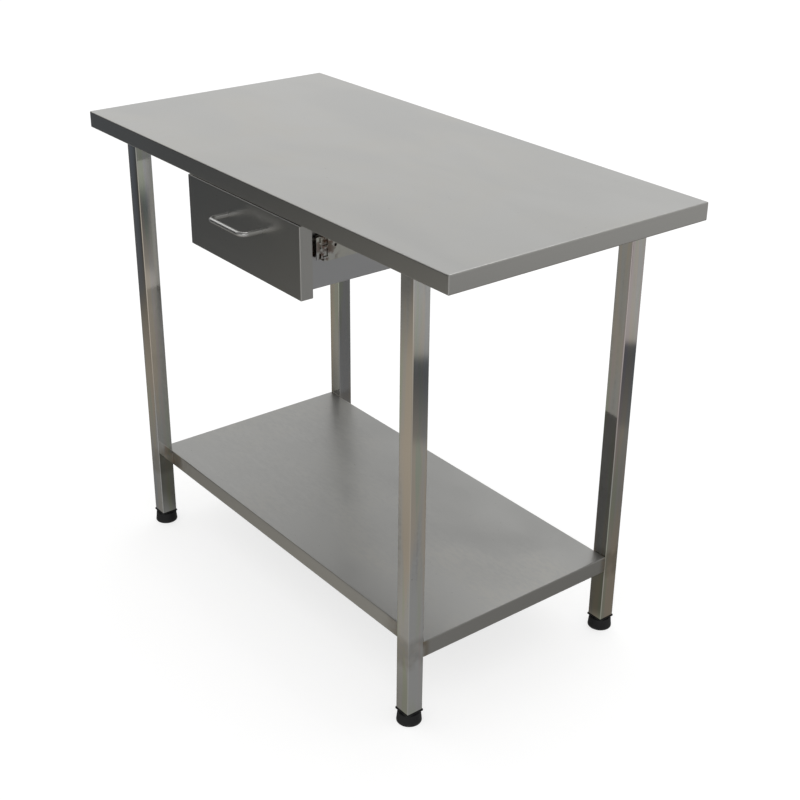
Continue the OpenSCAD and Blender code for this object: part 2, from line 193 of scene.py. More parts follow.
# thin oxide films on the tubes: noise scale, where the patch starts and is full, and its tint
FILMS = (
    ((26.0, 26.0, 2.2), 0.44, 0.62, (1.06, 0.95, 0.82)),
    ((34.0, 34.0, 3.1), 0.52, 0.66, (0.90, 0.95, 0.80)),
    ((70.0, 70.0, 1.7), 0.56, 0.70, (1.02, 0.91, 0.90)),
    ((19.0, 19.0, 1.3), 0.55, 0.72, (0.86, 0.93, 1.04)),
)
SHELF_LOW, SHELF_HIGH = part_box("undershelf")
SHELF_MID_Y = (SHELF_LOW.y + SHELF_HIGH.y) / 2
SHELF_HALF_Y = (SHELF_HIGH.y - SHELF_LOW.y) / 2
LEG_INNER_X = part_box("leg_front_right")[0].x


def shelf_corner_heat(tree):
    """Patchy mask round the four welded shelf corners."""
    near = tree.span(tree.away(tree.axis("X")), LEG_INNER_X - 0.080, LEG_INNER_X - 0.012)
    across = tree.away(tree.axis("Y"), SHELF_MID_Y)
    near = tree.times(near, tree.span(across, SHELF_HALF_Y - 0.016, SHELF_HALF_Y - 0.002))
    level = tree.band(tree.axis("Z"), SHELF_LOW.z - 0.004, SHELF_HIGH.z + 0.002, 0.016)
    patch = tree.span(tree.noise((40.0, 40.0, 30.0), 2.0, 0.5), 0.22, 0.56)
    return tree.times(tree.times(near, level), patch)


def stainless(name, along, colour, rough, streaks=0.05, grain=0.25, wave=0.3, edge=(), heat=0.0,
              film=0.0, spread=0.05, drag=0.03):
    """Stainless sheet, tube or bar, brushed along one axis.

    streaks darkens the brush lines, grain and drag are their fine and coarse relief, wave is the soft
    unevenness of the sheet, edge scales the colour of faces across X and across Y as painted light (sides
    painted darker as shade or lighter as highlight, for how the light falls on them), heat marks the welded
    shelf corners, film tints the metal in patches, and spread is how far the roughness varies.
    """
    mat, tree, bsdf = shader(name, 1.0)
    fine = tree.noise(along_axis(along, 5.0, 620.0), 2.0, 0.5)
    streak = tree.noise(along_axis(along, 0.8, 95.0), 2.0, 0.55)
    smear = tree.noise((4.0, 4.0, 4.0), 5.0, 0.6, 0.8)
    specks = tree.noise((210.0, 210.0, 210.0), 1.0, 0.4)
    shade = tree.blend(tree.span(streak, 0.25, 0.75), tint(colour, 1.0 - streaks), colour)
    shade = tree.blend(tree.span(smear, 0.35, 0.7), shade, tint(colour, 1.0, 0.985, 0.955))
    if heat:
        mottle = tree.noise((70.0, 170.0, 120.0), 3.0, 0.6)
        shade = tree.blend(tree.span(mottle, 0.35, 0.7), shade, tint(colour, 0.93))
    cloud = tree.noise((2.6, 7.0, 5.0), 2.0, 0.5, 0.4)
    shade = tree.blend(tree.span(cloud, 0.40, 0.66), shade, tint(colour, 0.955))
    shade = tree.blend(tree.span(specks, 0.76, 0.84, 0.0, 0.5), shade, tint(colour, 0.5, 0.5, 0.45))
    if film:
        for scale, low, high, hue in FILMS:
            patch = tree.span(tree.noise(scale, 3.0, 0.55, 0.3), low, high, 0.0, film)
            shade = tree.blend(patch, shade, tint(colour, *hue))
    # painted light: faces across X and across Y get their colour scaled by edge, darker as painted shade or
    # lighter as painted highlight
    for axis, level in zip("XY", edge):
        painted_side_mask = tree.span(tree.away(tree.axis(axis, "Normal")), 0.3, 0.8)
        shade = tree.blend(painted_side_mask, shade, tint(colour, level, level * 0.985, level * 0.96))
    if heat:
        patch = tree.times(shelf_corner_heat(tree), heat)
        upright = tree.span(tree.away(tree.axis("Z", "Normal")), 0.3, 0.8, 1.0, 0.0)
        hue = tree.span(tree.noise((60.0, 60.0, 110.0), 2.0), 0.42, 0.6)
        shade = tree.blend(tree.times(patch, upright), shade, tree.blend(hue, HEAT_BROWN, HEAT_GREY))
    tree.join(shade, bsdf.inputs["Base Color"])
    base = tree.span(smear, 0.3, 0.75, rough - spread / 2, rough + spread)
    finely = tree.span(fine, 0.2, 0.8, -spread / 3, spread / 3)
    tree.join(tree.math("ADD", base, finely), bsdf.inputs["Roughness"])
    normal = tree.bump(tree.noise((3.2, 3.2, 3.2), 2.0, 0.45), wave, 0.004)
    normal = tree.bump(streak, drag, 0.0006, normal)
    tree.join(tree.bump(fine, grain, 0.00004, normal), bsdf.inputs["Normal"])
    return mat


def galvanised(name):
    """Dull zinc coating with its spangle and a cloudy bloom."""
    mat, tree, bsdf = shader(name, 1.0)
    spangle = tree.cells((95.0, 95.0, 95.0))
    cloud = tree.noise((14.0, 14.0, 14.0), 4.0)
    colour = tree.blend(tree.span(spangle, 0.2, 0.8), (0.40, 0.42, 0.44), (0.55, 0.57, 0.58))
    colour = tree.blend(tree.span(cloud, 0.35, 0.7, 0.0, 0.6), colour, (0.36, 0.37, 0.38))
    tree.join(colour, bsdf.inputs["Base Color"])
    tree.join(tree.span(spangle, 0.1, 0.9, 0.36, 0.52), bsdf.inputs["Roughness"])
    tree.join(tree.bump(cloud, 0.2, 0.0004), bsdf.inputs["Normal"])
    return mat


SLIDE_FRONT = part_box("cabinet_member_right")[0].y
GREASE_BROWN, GREASE_RED = (0.12, 0.075, 0.045), (0.20, 0.105, 0.075)


def zinc(name, grease=0.0, start=0.0, end=0.0, spots=(0.42, 0.58)):
    """Bright zinc plate.

    grease is the strength of brown smears between two distances from the slide's front end, and spots
    says where in the noise a smear starts and is full.
    """
    mat, tree, bsdf = shader(name, 1.0)
    cloud = tree.noise((30.0, 30.0, 30.0), 4.0, 0.6)
    fine = tree.noise((900.0, 14.0, 900.0), 2.0)
    colour = tree.blend(tree.span(cloud, 0.35, 0.65), (0.66, 0.65, 0.58), (0.60, 0.60, 0.59))
    rough = tree.span(fine, 0.3, 0.7, 0.29, 0.40)
    if grease:
        reach = tree.band(tree.axis("Y"), SLIDE_FRONT + start, SLIDE_FRONT + end, 0.025)
        blot = tree.span(tree.noise((120.0, 100.0, 105.0), 3.0, 0.5), *spots)
        smear = tree.times(tree.times(reach, blot), grease)
        hue = tree.span(tree.noise((120.0, 120.0, 120.0), 2.0), 0.4, 0.6)
        colour = tree.blend(smear, colour, tree.blend(hue, GREASE_BROWN, GREASE_RED))
        rough = tree.math("ADD", rough, tree.times(smear, 0.2))
    tree.join(colour, bsdf.inputs["Base Color"])
    tree.join(rough, bsdf.inputs["Roughness"])
    tree.join(tree.bump(cloud, 0.15, 0.0003), bsdf.inputs["Normal"])
    return mat


def plastic(name):
    """Black moulded nylon with a fine grain and pale scuffs near the floor."""
    mat, tree, bsdf = shader(name, 0.0, 0.35)
    grain = tree.noise((900.0, 900.0, 900.0), 3.0, 0.6)
    cloud = tree.noise((60.0, 60.0, 60.0), 4.0, 0.6)
    scuff = tree.times(tree.span(tree.axis("Z"), 0.0005, 0.006, 0.5, 0.0),
                       tree.span(tree.noise((90.0, 90.0, 400.0), 4.0, 0.7), 0.5, 0.65))
    colour = tree.blend(tree.span(cloud, 0.3, 0.7), (0.005, 0.005, 0.0055), (0.010, 0.010, 0.0105))
    colour = tree.blend(scuff, colour, (0.08, 0.08, 0.075))
    tree.join(colour, bsdf.inputs["Base Color"])
    tree.join(tree.span(cloud, 0.3, 0.7, 0.40, 0.56), bsdf.inputs["Roughness"])
    tree.join(tree.bump(grain, 0.25, 0.00015), bsdf.inputs["Normal"])
    return mat


def weld_metal(name):
    """Weld bead, dulled and browned by the heat."""
    mat, tree, bsdf = shader(name, 1.0)
    cloud = tree.noise((160.0, 160.0, 160.0), 3.0, 0.6)
    colour = tree.blend(tree.span(cloud, 0.35, 0.65), (0.26, 0.21, 0.16), (0.36, 0.33, 0.29))
    tree.join(colour, bsdf.inputs["Base Color"])
    tree.join(tree.span(cloud, 0.3, 0.7, 0.3, 0.5), bsdf.inputs["Roughness"])
    tree.join(tree.bump(cloud, 0.4, 0.0004), bsdf.inputs["Normal"])
    return mat


# painted light in the edge values below: the worktop's front and back faces painted darker as shade, the
# drawer front's side returns painted lighter as highlight, the undershelf's end flanges painted darker as
# shade
M = {
    "top": stainless("stainless_worktop", "X", tint(STEEL, 1.015), 0.275, streaks=0.0, grain=0.02,
                     edge=(1.0, 0.86), spread=0.0, drag=0.0),
    "shelf": stainless("stainless_undershelf", "X", STEEL, 0.34, streaks=0.035, grain=0.12,
                       edge=(0.72, 1.02), heat=0.9, drag=0.02),
    "front": stainless("stainless_drawer_front", "X", tint(STEEL, 0.75), 0.285, streaks=0.008, grain=0.03,
                       wave=0.15, edge=(1.20,), spread=0.003, drag=0.004),
    "box": stainless("stainless_drawer_box", "Y", tint(STEEL, 0.96, 0.965, 1.0), 0.33, grain=0.2, wave=0.2),
    "leg": stainless("stainless_tube", "Z", TUBE_STEEL, 0.045, streaks=0.26, grain=0.10, wave=0.10,
                     heat=0.40, film=1.0, spread=0.02),
    "handle": stainless("satin_bar", "X", BAR_STEEL, 0.30, streaks=0.03, grain=0.02, wave=0.0, drag=0.0),
    "ball": stainless("bearing_steel", "X", BALL_STEEL, 0.10, streaks=0.02, grain=0.03, wave=0.0),
    "galvanised": galvanised("galvanised_sheet"),
    "zinc": zinc("zinc_plate"),
    "slide": zinc("zinc_slide", grease=0.8, start=0.010, end=0.022),
    "inner_slide": zinc("zinc_inner_slide", grease=1.0, end=0.040, spots=(0.36, 0.62)),
    "plastic": plastic("black_nylon"),
    "weld": weld_metal("weld_bead"),
}


def finish_of(name):
    """Finish of a CAD node, from its name."""
    if "channel" in name or name.startswith(("leg_plate_front", "leg_plate_back", "hanger_straps")):
        return "galvanised"
    if name.startswith(("foot_insert", "foot_base", "release_lever")):
        return "plastic"
    if name.startswith(("leg_front", "leg_back")):
        return "leg"
    if name.startswith(("middle_member", "drawer_member", "outer_cage", "inner_cage")):
        return "inner_slide"
    if name.startswith("cabinet_member"):
        return "slide"
    if "balls" in name:
        return "ball"
    plain = {"worktop": "top", "undershelf": "shelf", "drawer_front": "front", "drawer_box": "box",
             "drawer_handle": "handle", "undershelf_welds": "weld"}
    return plain.get(name, "zinc")


def paint_nodes():
    for name, obj in NODES.items():
        if not obj.data.materials:
            obj.data.materials.append(M["zinc"])
        for slot in obj.material_slots:
            slot.material = M[finish_of(name)]


paint_nodes()

# ---------------------------------------------------------------- detailed pieces


def piece(name, bm, node, body, smooth=35.0):
    """Turn a bmesh into a piece that stands for one CAD node."""
    bmesh.ops.recalc_face_normals(bm, faces=bm.faces)
    mesh = bpy.data.meshes.new(name)
    bm.to_mesh(mesh)
    bm.free()
    mesh.materials.append(M[finish_of(node)])
    mesh.polygons.foreach_set("use_smooth", [True] * len(mesh.polygons))
    mesh.set_sharp_from_angle(angle=math.radians(smooth))
    obj = bpy.data.objects.new(name, mesh)
    bpy.context.scene.collection.objects.link(obj)
    soft = obj.modifiers.new("soft_normals", "WEIGHTED_NORMAL")
    soft.keep_sharp = True
    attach(obj, body)
    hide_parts(node)
    return obj


def ring(bm, points):
    return [bm.verts.new(p) for p in points]


def bridge(bm, a, b):
    count = len(a)
    for i in range(count):
        j = (i + 1) % count
        bm.faces.new((a[i], a[j], b[j], b[i]))


def loft(bm, rings, close=False):
    """Skin over rings of equal length; the ends are capped, or joined when close is set."""
    made = [ring(bm, points) for points in rings]
    for a, b in zip(made, made[1:]):
        bridge(bm, a, b)
    if close:
        bridge(bm, made[-1], made[0])
    else:
        bm.faces.new(list(reversed(made[0])))
        bm.faces.new(made[-1])
    return made


CORNER_STEPS = 5


def rounded_ring(half_x, half_y, radius, z):
    """Rounded rectangle about the origin."""
    radius = max(radius, 0.05 * MM)
    points = []
    for quarter, (sx, sy) in enumerate(((1, 1), (-1, 1), (-1, -1), (1, -1))):
        for step in range(CORNER_STEPS + 1):
            angle = math.radians(90.0 * (quarter + step / CORNER_STEPS))
            points.append(Vector((sx * (half_x - radius) + radius * math.cos(angle),
                                  sy * (half_y - radius) + radius * math.sin(angle), z)))
    return points


def pan(low, high, sheet, bend, corner, lip):
    """Folded sheet pan, closed on top at high.z and open below, with welded and dressed corners."""
    half = (high - low) / 2
    height = high.z - low.z

    def at(inset, z):
        return rounded_ring(half.x - inset, half.y - inset, corner - inset, z)

    arcs = [math.radians(15.0 * k) for k in range(7)]
    rings = [at(bend * (1 - math.sin(a)), height - bend * (1 - math.cos(a))) for a in arcs]
    if lip:
        rings += [at(bend * (1 - math.cos(a)), bend * (1 - math.sin(a))) for a in arcs]
        rings += [at(lip, 0.0), at(lip, sheet), at(sheet * 1.6, sheet), at(sheet, sheet * 1.6)]
    else:
        rings += [at(0.0, 0.0), at(sheet, 0.0)]
    rings += [at(sheet, height - sheet * 1.6), at(sheet * 1.6, height - sheet)]
    bm = bmesh.new()
    loft(bm, rings)
    bm.transform(Matrix.Translation((low + high) / 2 - Vector((0, 0, height / 2))))
    return bm


SHEET, BEND, LIP = 1.2 * MM, 2.0 * MM, 12 * MM
FRONT_SHEET, FRONT_BEND = 1.0 * MM, 1.6 * MM
# stands up a pan built lying on its back, so that its closed face looks towards -Y
STAND_UP = Matrix(((1, 0, 0, 0), (0, 0, -1, 0), (0, 1, 0, 0), (0, 0, 0, 1)))


def make_sheet_parts():
    for name, node, corner in (("worktop_sheet", "worktop", 1.6 * MM),
                               ("undershelf_sheet", "undershelf", 1.2 * MM)):
        low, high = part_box(node)
        piece(name, pan(low, high, SHEET, BEND, corner, LIP), node, "table")
    low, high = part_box("drawer_front")
    flat_low = Vector((low.x, low.z, -high.y))
    flat_high = Vector((high.x, high.z, -low.y))
    bm = pan(flat_low, flat_high, FRONT_SHEET, FRONT_BEND, 1.5 * MM, 0.0)
    bm.transform(STAND_UP)
    piece("drawer_front_panel", bm, "drawer_front", "drawer")


def make_legs():
    wall, radius, ease = 1.2 * MM, 1.6 * MM, 0.25 * MM
    for corner in CORNERS:
        low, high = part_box("leg_" + corner)
        half = (high - low) / 2
        middle = (low + high) / 2
        bm = bmesh.new()

        def at(inset, z):
            return rounded_ring(half.x - inset, half.y - inset, radius - inset, z)

        loft(bm, [at(0, half.z - ease), at(ease, half.z), at(wall, half.z), at(wall, -half.z),
                  at(ease, -half.z), at(0, -half.z + ease)], close=True)
        bm.transform(Matrix.Translation(middle))
        piece("leg_tube_" + corner, bm, "leg_" + corner, "table")


UP = Vector((0, 0, 1))
BAR_STEPS = 28


def make_handle():
    """Round bar bent twice, swept along its centre line from one foot to the other."""
    low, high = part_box("drawer_handle")
    bar = (high.z - low.z) / 2
    bend, ease = 11.0 * MM, 0.3 * MM
    left, right = low.x + bar, high.x - bar
    foot, out = high.y, low.y + bar
    z = (low.z + high.z) / 2
    path = [Vector((left, foot, z)), Vector((left, foot - 1.2 * MM, z)), Vector((left, out + bend, z))]
    for step in range(1, 13):
        a = math.radians(7.5 * step)
        path.append(Vector((left + bend * (1 - math.cos(a)), out + bend * (1 - math.sin(a)), z)))
    path += [Vector((left + right - p.x, p.y, p.z)) for p in reversed(path)]
    rings = []
    for i, p in enumerate(path):
        ahead = (path[min(i + 1, len(path) - 1)] - path[max(i - 1, 0)]).normalized()
        side = ahead.cross(UP)
        radius = bar - (ease if i in (0, len(path) - 1) else 0.0)
        rings.append([p + radius * (side * math.cos(t) + UP * math.sin(t))
                      for t in (math.tau * k / BAR_STEPS for k in range(BAR_STEPS))])
    bm = bmesh.new()
    loft(bm, rings)
    piece("handle_bar", bm, "drawer_handle", "drawer")


def make_welds():
    """One rippled fillet at each shelf corner, between the leg's inner face and the flange."""
    bm = bmesh.new()
    steps, bead, ripple, sunk = 44, 1.9 * MM, 1.7 * MM, 0.4 * MM
    low_z, high_z = SHELF_LOW.z + 3 * MM, SHELF_HIGH.z - 3 * MM
    for corner in CORNERS:
        sx = 1 if "right" in corner else -1
        sy = 1 if "back" in corner else -1
        leg_low, leg_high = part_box("leg_" + corner)
        x = leg_low.x if sx > 0 else leg_high.x
        y = leg_low.y if sy > 0 else leg_high.y
        rings = []
        for k in range(steps + 1):
            t = k / steps
            z = low_z + (high_z - low_z) * t
            taper = min(1.0, 0.35 + 6.0 * min(t, 1 - t))
            size = bead * taper * (0.80 + 0.20 * abs(math.sin(math.pi * (z - low_z) / ripple)))
            arc = [Vector((x + sx * sunk, y - sy * sunk, z))]
            for a in range(7):
                angle = math.radians(15.0 * a)
                inward, outward = size * math.cos(angle), size * math.sin(angle)
                arc.append(Vector((x - sx * inward, y + sy * outward, z)))
            rings.append(arc)
        loft(bm, rings)
    piece("shelf_weld_beads", bm, "undershelf_welds", "table", 60.0)


def lathe(bm, profile, place, steps=40):
    """Turn (radius, height) points about the local Z of place into a closed ring of skin."""
    rings = [[place @ Vector((r * math.cos(t), r * math.sin(t), z))
              for t in (math.tau * k / steps for k in range(steps))] for r, z in profile]
    loft(bm, rings, close=True)


def arc_points(cx, cz, radius, start, end, steps=4):
    """(radius, height) points of an arc about (cx, cz), in degrees."""
    angles = [math.radians(start + (end - start) * k / steps) for k in range(steps + 1)]
    return [(cx + radius * math.cos(a), cz + radius * math.sin(a)) for a in angles]


def thread(bm, place, radius, depth, pitch, z0, z1, steps=24):
    """Rod with a real helical thread between z0 and z1, chamfered at both ends."""
    rows = int((z1 - z0) / (pitch / 6))
    rings = []
    for row in range(rows + 1):
        z = z0 + (z1 - z0) * row / rows
        ease = max(0.0, 1.0 - min(z - z0, z1 - z) / pitch)
        points = []
        for k in range(steps):
            phase = (z / pitch - k / steps) % 1.0
            flank = abs(2.0 * phase - 1.0)
            r = radius - depth * min(1.0, max(flank, ease * 0.9))
            t = math.tau * k / steps
            points.append(place @ Vector((r * math.cos(t), r * math.sin(t), z)))
        rings.append(points)
    loft(bm, rings)


STUD_RADIUS, STUD_PITCH, STUD_DEPTH = 5 * MM, 1.5 * MM, 0.92 * MM
STUD_BORE, SOCKET_RADIUS, SOCKET_TOP = 5.05 * MM, 9.3 * MM, 9.3 * MM


def make_stud(corner, place):
    """Threaded stud on the round head that sits in the foot's socket."""
    low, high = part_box("foot_stud_" + corner)
    bm = bmesh.new()
    thread(bm, place, STUD_RADIUS, STUD_DEPTH, STUD_PITCH, low.z + 3.5 * MM, high.z)
    rim, ease, core = 8.2 * MM, 0.8 * MM, 3.0 * MM
    upper = arc_points(rim, low.z + 3.2 * MM, ease, 90, 0)
    lower = arc_points(rim, low.z + 0.8 * MM, ease, 0, -90)
    lathe(bm, [(core, low.z + 4 * MM)] + upper + lower + [(core, low.z)], place)
    piece("foot_thread_" + corner, bm, "foot_stud_" + corner, "levelling_stud_" + corner)


def make_pad(corner, place):
    """Black base with rounded edges and a socket for the stud's head."""
    low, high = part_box("foot_base_" + corner)
    r, top = (high.x - low.x) / 2, high.z
    outline = [(SOCKET_RADIUS, 0.0), (9.9 * MM, 0.0), (r - 2.4 * MM, 0.0)]
    outline += arc_points(r - 1.7 * MM, 1.7 * MM, 1.7 * MM, -80, 0, 5)
    outline += arc_points(r - 3.3 * MM, top - 1.6 * MM, 1.6 * MM, 4, 90, 5)
    outline += [(5.6 * MM, top), (STUD_BORE, top - 0.5 * MM)]
    outline += [(STUD_BORE, SOCKET_TOP), (SOCKET_RADIUS, SOCKET_TOP)]
    bm = bmesh.new()
    lathe(bm, outline, place, 56)
    piece("foot_pad_" + corner, bm, "foot_base_" + corner, "levelling_base_" + corner,
          50.0)


def make_feet():
    for corner in CORNERS:
        low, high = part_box("foot_stud_" + corner)
        centre = (low + high) / 2
        place = Matrix.Translation((centre.x, centre.y, 0))
        make_stud(corner, place)
        make_pad(corner, place)


def solids(name):
    """Point lists of the separate solids in one CAD node, in mesh order."""
    bm = bmesh.new()
    bm.from_mesh(NODES[name].data)
    bmesh.ops.remove_doubles(bm, verts=bm.verts, dist=0.01 * MM)
    seen, found = set(), []
    for start in bm.verts:
        if start in seen:
            continue
        seen.add(start)
        stack, points = [start], []
        while stack:
            vert = stack.pop()
            points.append(vert.co.copy())
            for edge in vert.link_edges:
                other = edge.other_vert(vert)
                if other not in seen:
                    seen.add(other)
                    stack.append(other)
        found.append(points)
    bm.free()
    return found


def pin_frame(points, axis, head_from=0.5):
    """Place, length, shank radius, head radius and head height of one fixing; its local Z runs tip to head.

    The head lies past the share head_from of the length.
    """
    low, high = (Vector([pick(p[k] for p in points) for k in range(3)]) for pick in (min, max))
    centre = (low + high) / 2

    def off(p):
        return (Vector([0.0 if k == axis else p[k] - centre[k] for k in range(3)])).length

    at_low = max(off(p) for p in points if p[axis] < low[axis] + 0.1 * MM)
    at_high = max(off(p) for p in points if p[axis] > high[axis] - 0.1 * MM)
    shank, head = min(at_low, at_high), max(at_low, at_high)
    ahead = Vector([float(k == axis) for k in range(3)]) * (1 if at_high > at_low else -1)
    start = centre.copy()
    start[axis] = low[axis] if at_high > at_low else high[axis]
    place = Matrix.Translation(start) @ ahead.to_track_quat("Z", "Y").to_matrix().to_4x4()
    reach = [abs(p[axis] - start[axis]) for p in points if off(p) > shank * 1.25]
    length = high[axis] - low[axis]
    near_head = [r for r in reach if r > length * head_from]
    return place, length, shank, head, length - min(near_head)


STEPS = 24


def turned(bm, place, rings):
    """Skin over rings given as (radius function or number, height), capped at both ends."""
    out = []
    for radius, z in rings:
        row = []
        for k in range(STEPS):
            t = math.tau * k / STEPS
            r = radius(t) if callable(radius) else radius
            row.append(place @ Vector((r * math.cos(t), r * math.sin(t), z)))
        out.append(row)
    loft(bm, out)


def hexagon(radius):
    """Outline of a hexagon, given its radius to the corners."""
    return lambda t: radius * math.cos(math.pi / 6) / math.cos(t % (math.pi / 3) - math.pi / 6)


def cross(arm):
    """Outline of a cross recess; its corners fall on multiples of 15 degrees."""
    half = arm * math.tan(math.radians(15.0))

    def radius(t):
        c, s = max(abs(math.cos(t)), 1e-6), max(abs(math.sin(t)), 1e-6)
        return max(min(arm / c, half / s), min(half / c, arm / s))
    return radius


def pan_screw(bm, points, axis):
    """Screw with a domed head and a cross recess."""
    place, length, shank, head, tall = pin_frame(points, axis)
    base = length - tall
    thread(bm, place, shank, depth=0.3 * MM, pitch=0.8 * MM, z0=0.0, z1=base + 0.3 * MM, steps=16)
    rings = [(head - 0.2 * MM, base), (head, base + 0.2 * MM), (head, base + tall * 0.35)]
    for k in range(1, 5):
        a = math.radians(90.0 * k / 5)
        rings.append((head * (0.62 + 0.38 * math.cos(a)), base + tall * (0.35 + 0.65 * math.sin(a))))
    rings += [(cross(head * 0.56), length - 0.02 * MM), (cross(head * 0.40), length - tall * 0.6)]
    turned(bm, place, rings)


def hex_bolt(bm, points, axis):
    """Hex bolt and nut, both chamfered, on a threaded shank."""
    place, length, shank, head, tall = pin_frame(points, axis, 0.7)
    base = length - tall
    flat = head * math.cos(math.pi / 6)
    thread(bm, place, shank, depth=0.45 * MM, pitch=1.0 * MM, z0=0.0, z1=base + 0.3 * MM, steps=16)
    turned(bm, place, [(hexagon(head), base), (hexagon(head), length - 0.9 * MM),
                       (flat * 0.97, length - 0.1 * MM), (flat * 0.9, length)])
    along = [(place.inverted() @ p) for p in points]
    nut = [p.z for p in along if p.z < base - 1 * MM and Vector((p.x, p.y, 0)).length > shank * 1.25]
    low, high = min(nut), max(nut)
    ease = 0.6 * MM
    turned(bm, place, [(flat * 0.95, low), (hexagon(head), low + ease), (hexagon(head), high - ease),
                       (flat * 0.95, high)])


def rivet(bm, points, axis):
    """Blind rivet with a domed head and a dimple."""
    place, length, shank, head, tall = pin_frame(points, axis)
    base = length - tall
    dome = [(head * math.cos(math.radians(a)), base + tall * (0.25 + 0.75 * math.sin(math.radians(a))))
            for a in (0, 20, 40, 60)]
    dimple = [(shank * 0.75, length), (shank * 0.55, length - 0.35 * MM)]
    turned(bm, place, [(shank, 0.0), (shank, base), (head - 0.1 * MM, base)] + dome + dimple)


def make_fixings():
    kinds = (("handle_screws", "handle_screw_pair", "drawer", pan_screw, 1),
             ("slide_screws", "slide_screw_set", "drawer", pan_screw, 0),
             ("hanger_screws", "hanger_screw_set", "table", pan_screw, 0),
             ("leg_plate_bolts", "leg_plate_bolt_set", "table", hex_bolt, 2),
             ("drawer_rivets", "drawer_rivet_set", "drawer", rivet, 1))
    for node, name, body, make, axis in kinds:
        bm = bmesh.new()
        for points in solids(node):
            make(bm, points, axis)
        piece(name, bm, node, body, 40.0)


make_sheet_parts()
make_legs()
make_fixings()
make_handle()
make_welds()
make_feet()

# ---------------------------------------------------------------- studio

WHITE = (1.0, 1.0, 1.0)
# brightness of the room seen in the metal: (place, level), place 0 straight down to 1 straight up
ROOM = {
    "front": ((0.0, 0.24), (0.19, 0.25), (0.21, 0.36), (0.235, 0.33), (0.26, 0.38), (0.29, 0.35),
              (0.308, 0.24), (0.322, 0.09), (0.335, 0.015), (0.40, 0.008), (0.46, 0.03), (0.55, 0.06),
              (0.72, 0.09), (0.80, 0.11), (0.88, 0.10), (1.0, 0.16)),
    "right": ((0.0, 0.28), (0.20, 0.30), (0.215, 0.31), (0.25, 0.30), (0.285, 0.34), (0.31, 0.44),
              (0.35, 0.41), (0.42, 0.34), (0.5, 0.36), (0.62, 0.48), (0.70, 0.58), (0.78, 0.45),
              (0.87, 0.10), (1.0, 0.16)),
    "back": ((0.0, 0.25), (0.3, 0.25), (0.45, 0.60), (0.60, 0.78), (0.66, 0.76), (0.70, 0.56),
             (0.735, 0.42), (0.78, 0.45), (0.85, 0.55), (1.0, 0.65)),
    "camera_side": ((0.0, 0.38), (0.2, 0.38), (0.28, 0.40), (0.305, 0.55), (0.335, 0.55), (0.37, 0.40),
                    (0.5, 0.50), (0.7, 0.15), (0.9, 0.08), (1.0, 0.16)),
}
WARM_FLOOR = (1.0, 0.965, 0.90)
COOL_BAND = (0.90, 1.0, 1.16)
EVEN_GREY = (0.92, 0.92, 0.92)


def grey_ramp(tree, value, stops):
    """Grey colour looked up from (place, level) stops."""
    node = tree.add("ShaderNodeValToRGB")
    ramp = node.color_ramp
    first, last = ramp.elements[0], ramp.elements[1]
    first.position, last.position = stops[0][0], stops[-1][0]
    first.color = (*[stops[0][1]] * 3, 1.0)
    last.color = (*[stops[-1][1]] * 3, 1.0)
    for place, level in stops[1:-1]:
        ramp.elements.new(place).color = (level, level, level, 1.0)
    tree.join(value, node.inputs["Fac"])
    return node.outputs["Color"]


def dim(tree, mask, look, colour):
    """The look, multiplied by the colour where the mask is 1."""
    return tree.blend(mask, look, tree.blend(1.0, look, colour, "MULTIPLY"))


def front_view(tree, look, toward, height):
    """What the metal mirrors from in front of the table."""
    front = dim(tree, tree.span(height, 0.30, 0.36, 1.0, 0.0), look, WARM_FLOOR)
    front = tree.blend(1.0, front, tree.span(toward, -0.15, 0.18, 0.78, 1.25), "MULTIPLY")
    # paler surroundings at the left and in the middle of the dark opening in front of the table
    left = tree.times(tree.span(toward, -0.17, -0.14, 1.0, 0.0), tree.band(height, 0.318, 0.42, 0.012))
    front = tree.blend(left, front, tint(COOL_BAND, 0.13))
    middle = tree.times(tree.band(toward, -0.03, 0.03, 0.02), tree.band(height, 0.325, 0.36, 0.012))
    front = tree.blend(tree.times(middle, 0.6), front, (0.30, 0.30, 0.28))
    # a broad lit strip high up to the left, seen along the top of the handle
    lit = tree.times(tree.span(toward, -0.28, -0.05, 1.0, 0.0), tree.band(height, 0.66, 0.84, 0.04))
    front = tree.blend(lit, front, WHITE)
    low_left = tree.times(tree.span(toward, -0.17, -0.12, 1.0, 0.0),
                          tree.span(height, 0.255, 0.285, 1.0, 0.0))
    front = dim(tree, low_left, front, tint(WHITE, 0.72))
    right = tree.times(tree.span(toward, 0.11, 0.17), tree.band(height, 0.26, 0.42, 0.02))
    front = tree.blend(right, front, (0.28, 0.277, 0.262))
    # a plain patch mirrored in the front face of the back left tube
    patch = tree.times(tree.band(toward, -0.032, -0.016, 0.008), tree.band(height, 0.280, 0.335, 0.006))
    level = tree.blend(tree.span(height, 0.280, 0.297), (0.19, 0.19, 0.175), (0.305, 0.297, 0.275))
    return tree.blend(patch, front, level)


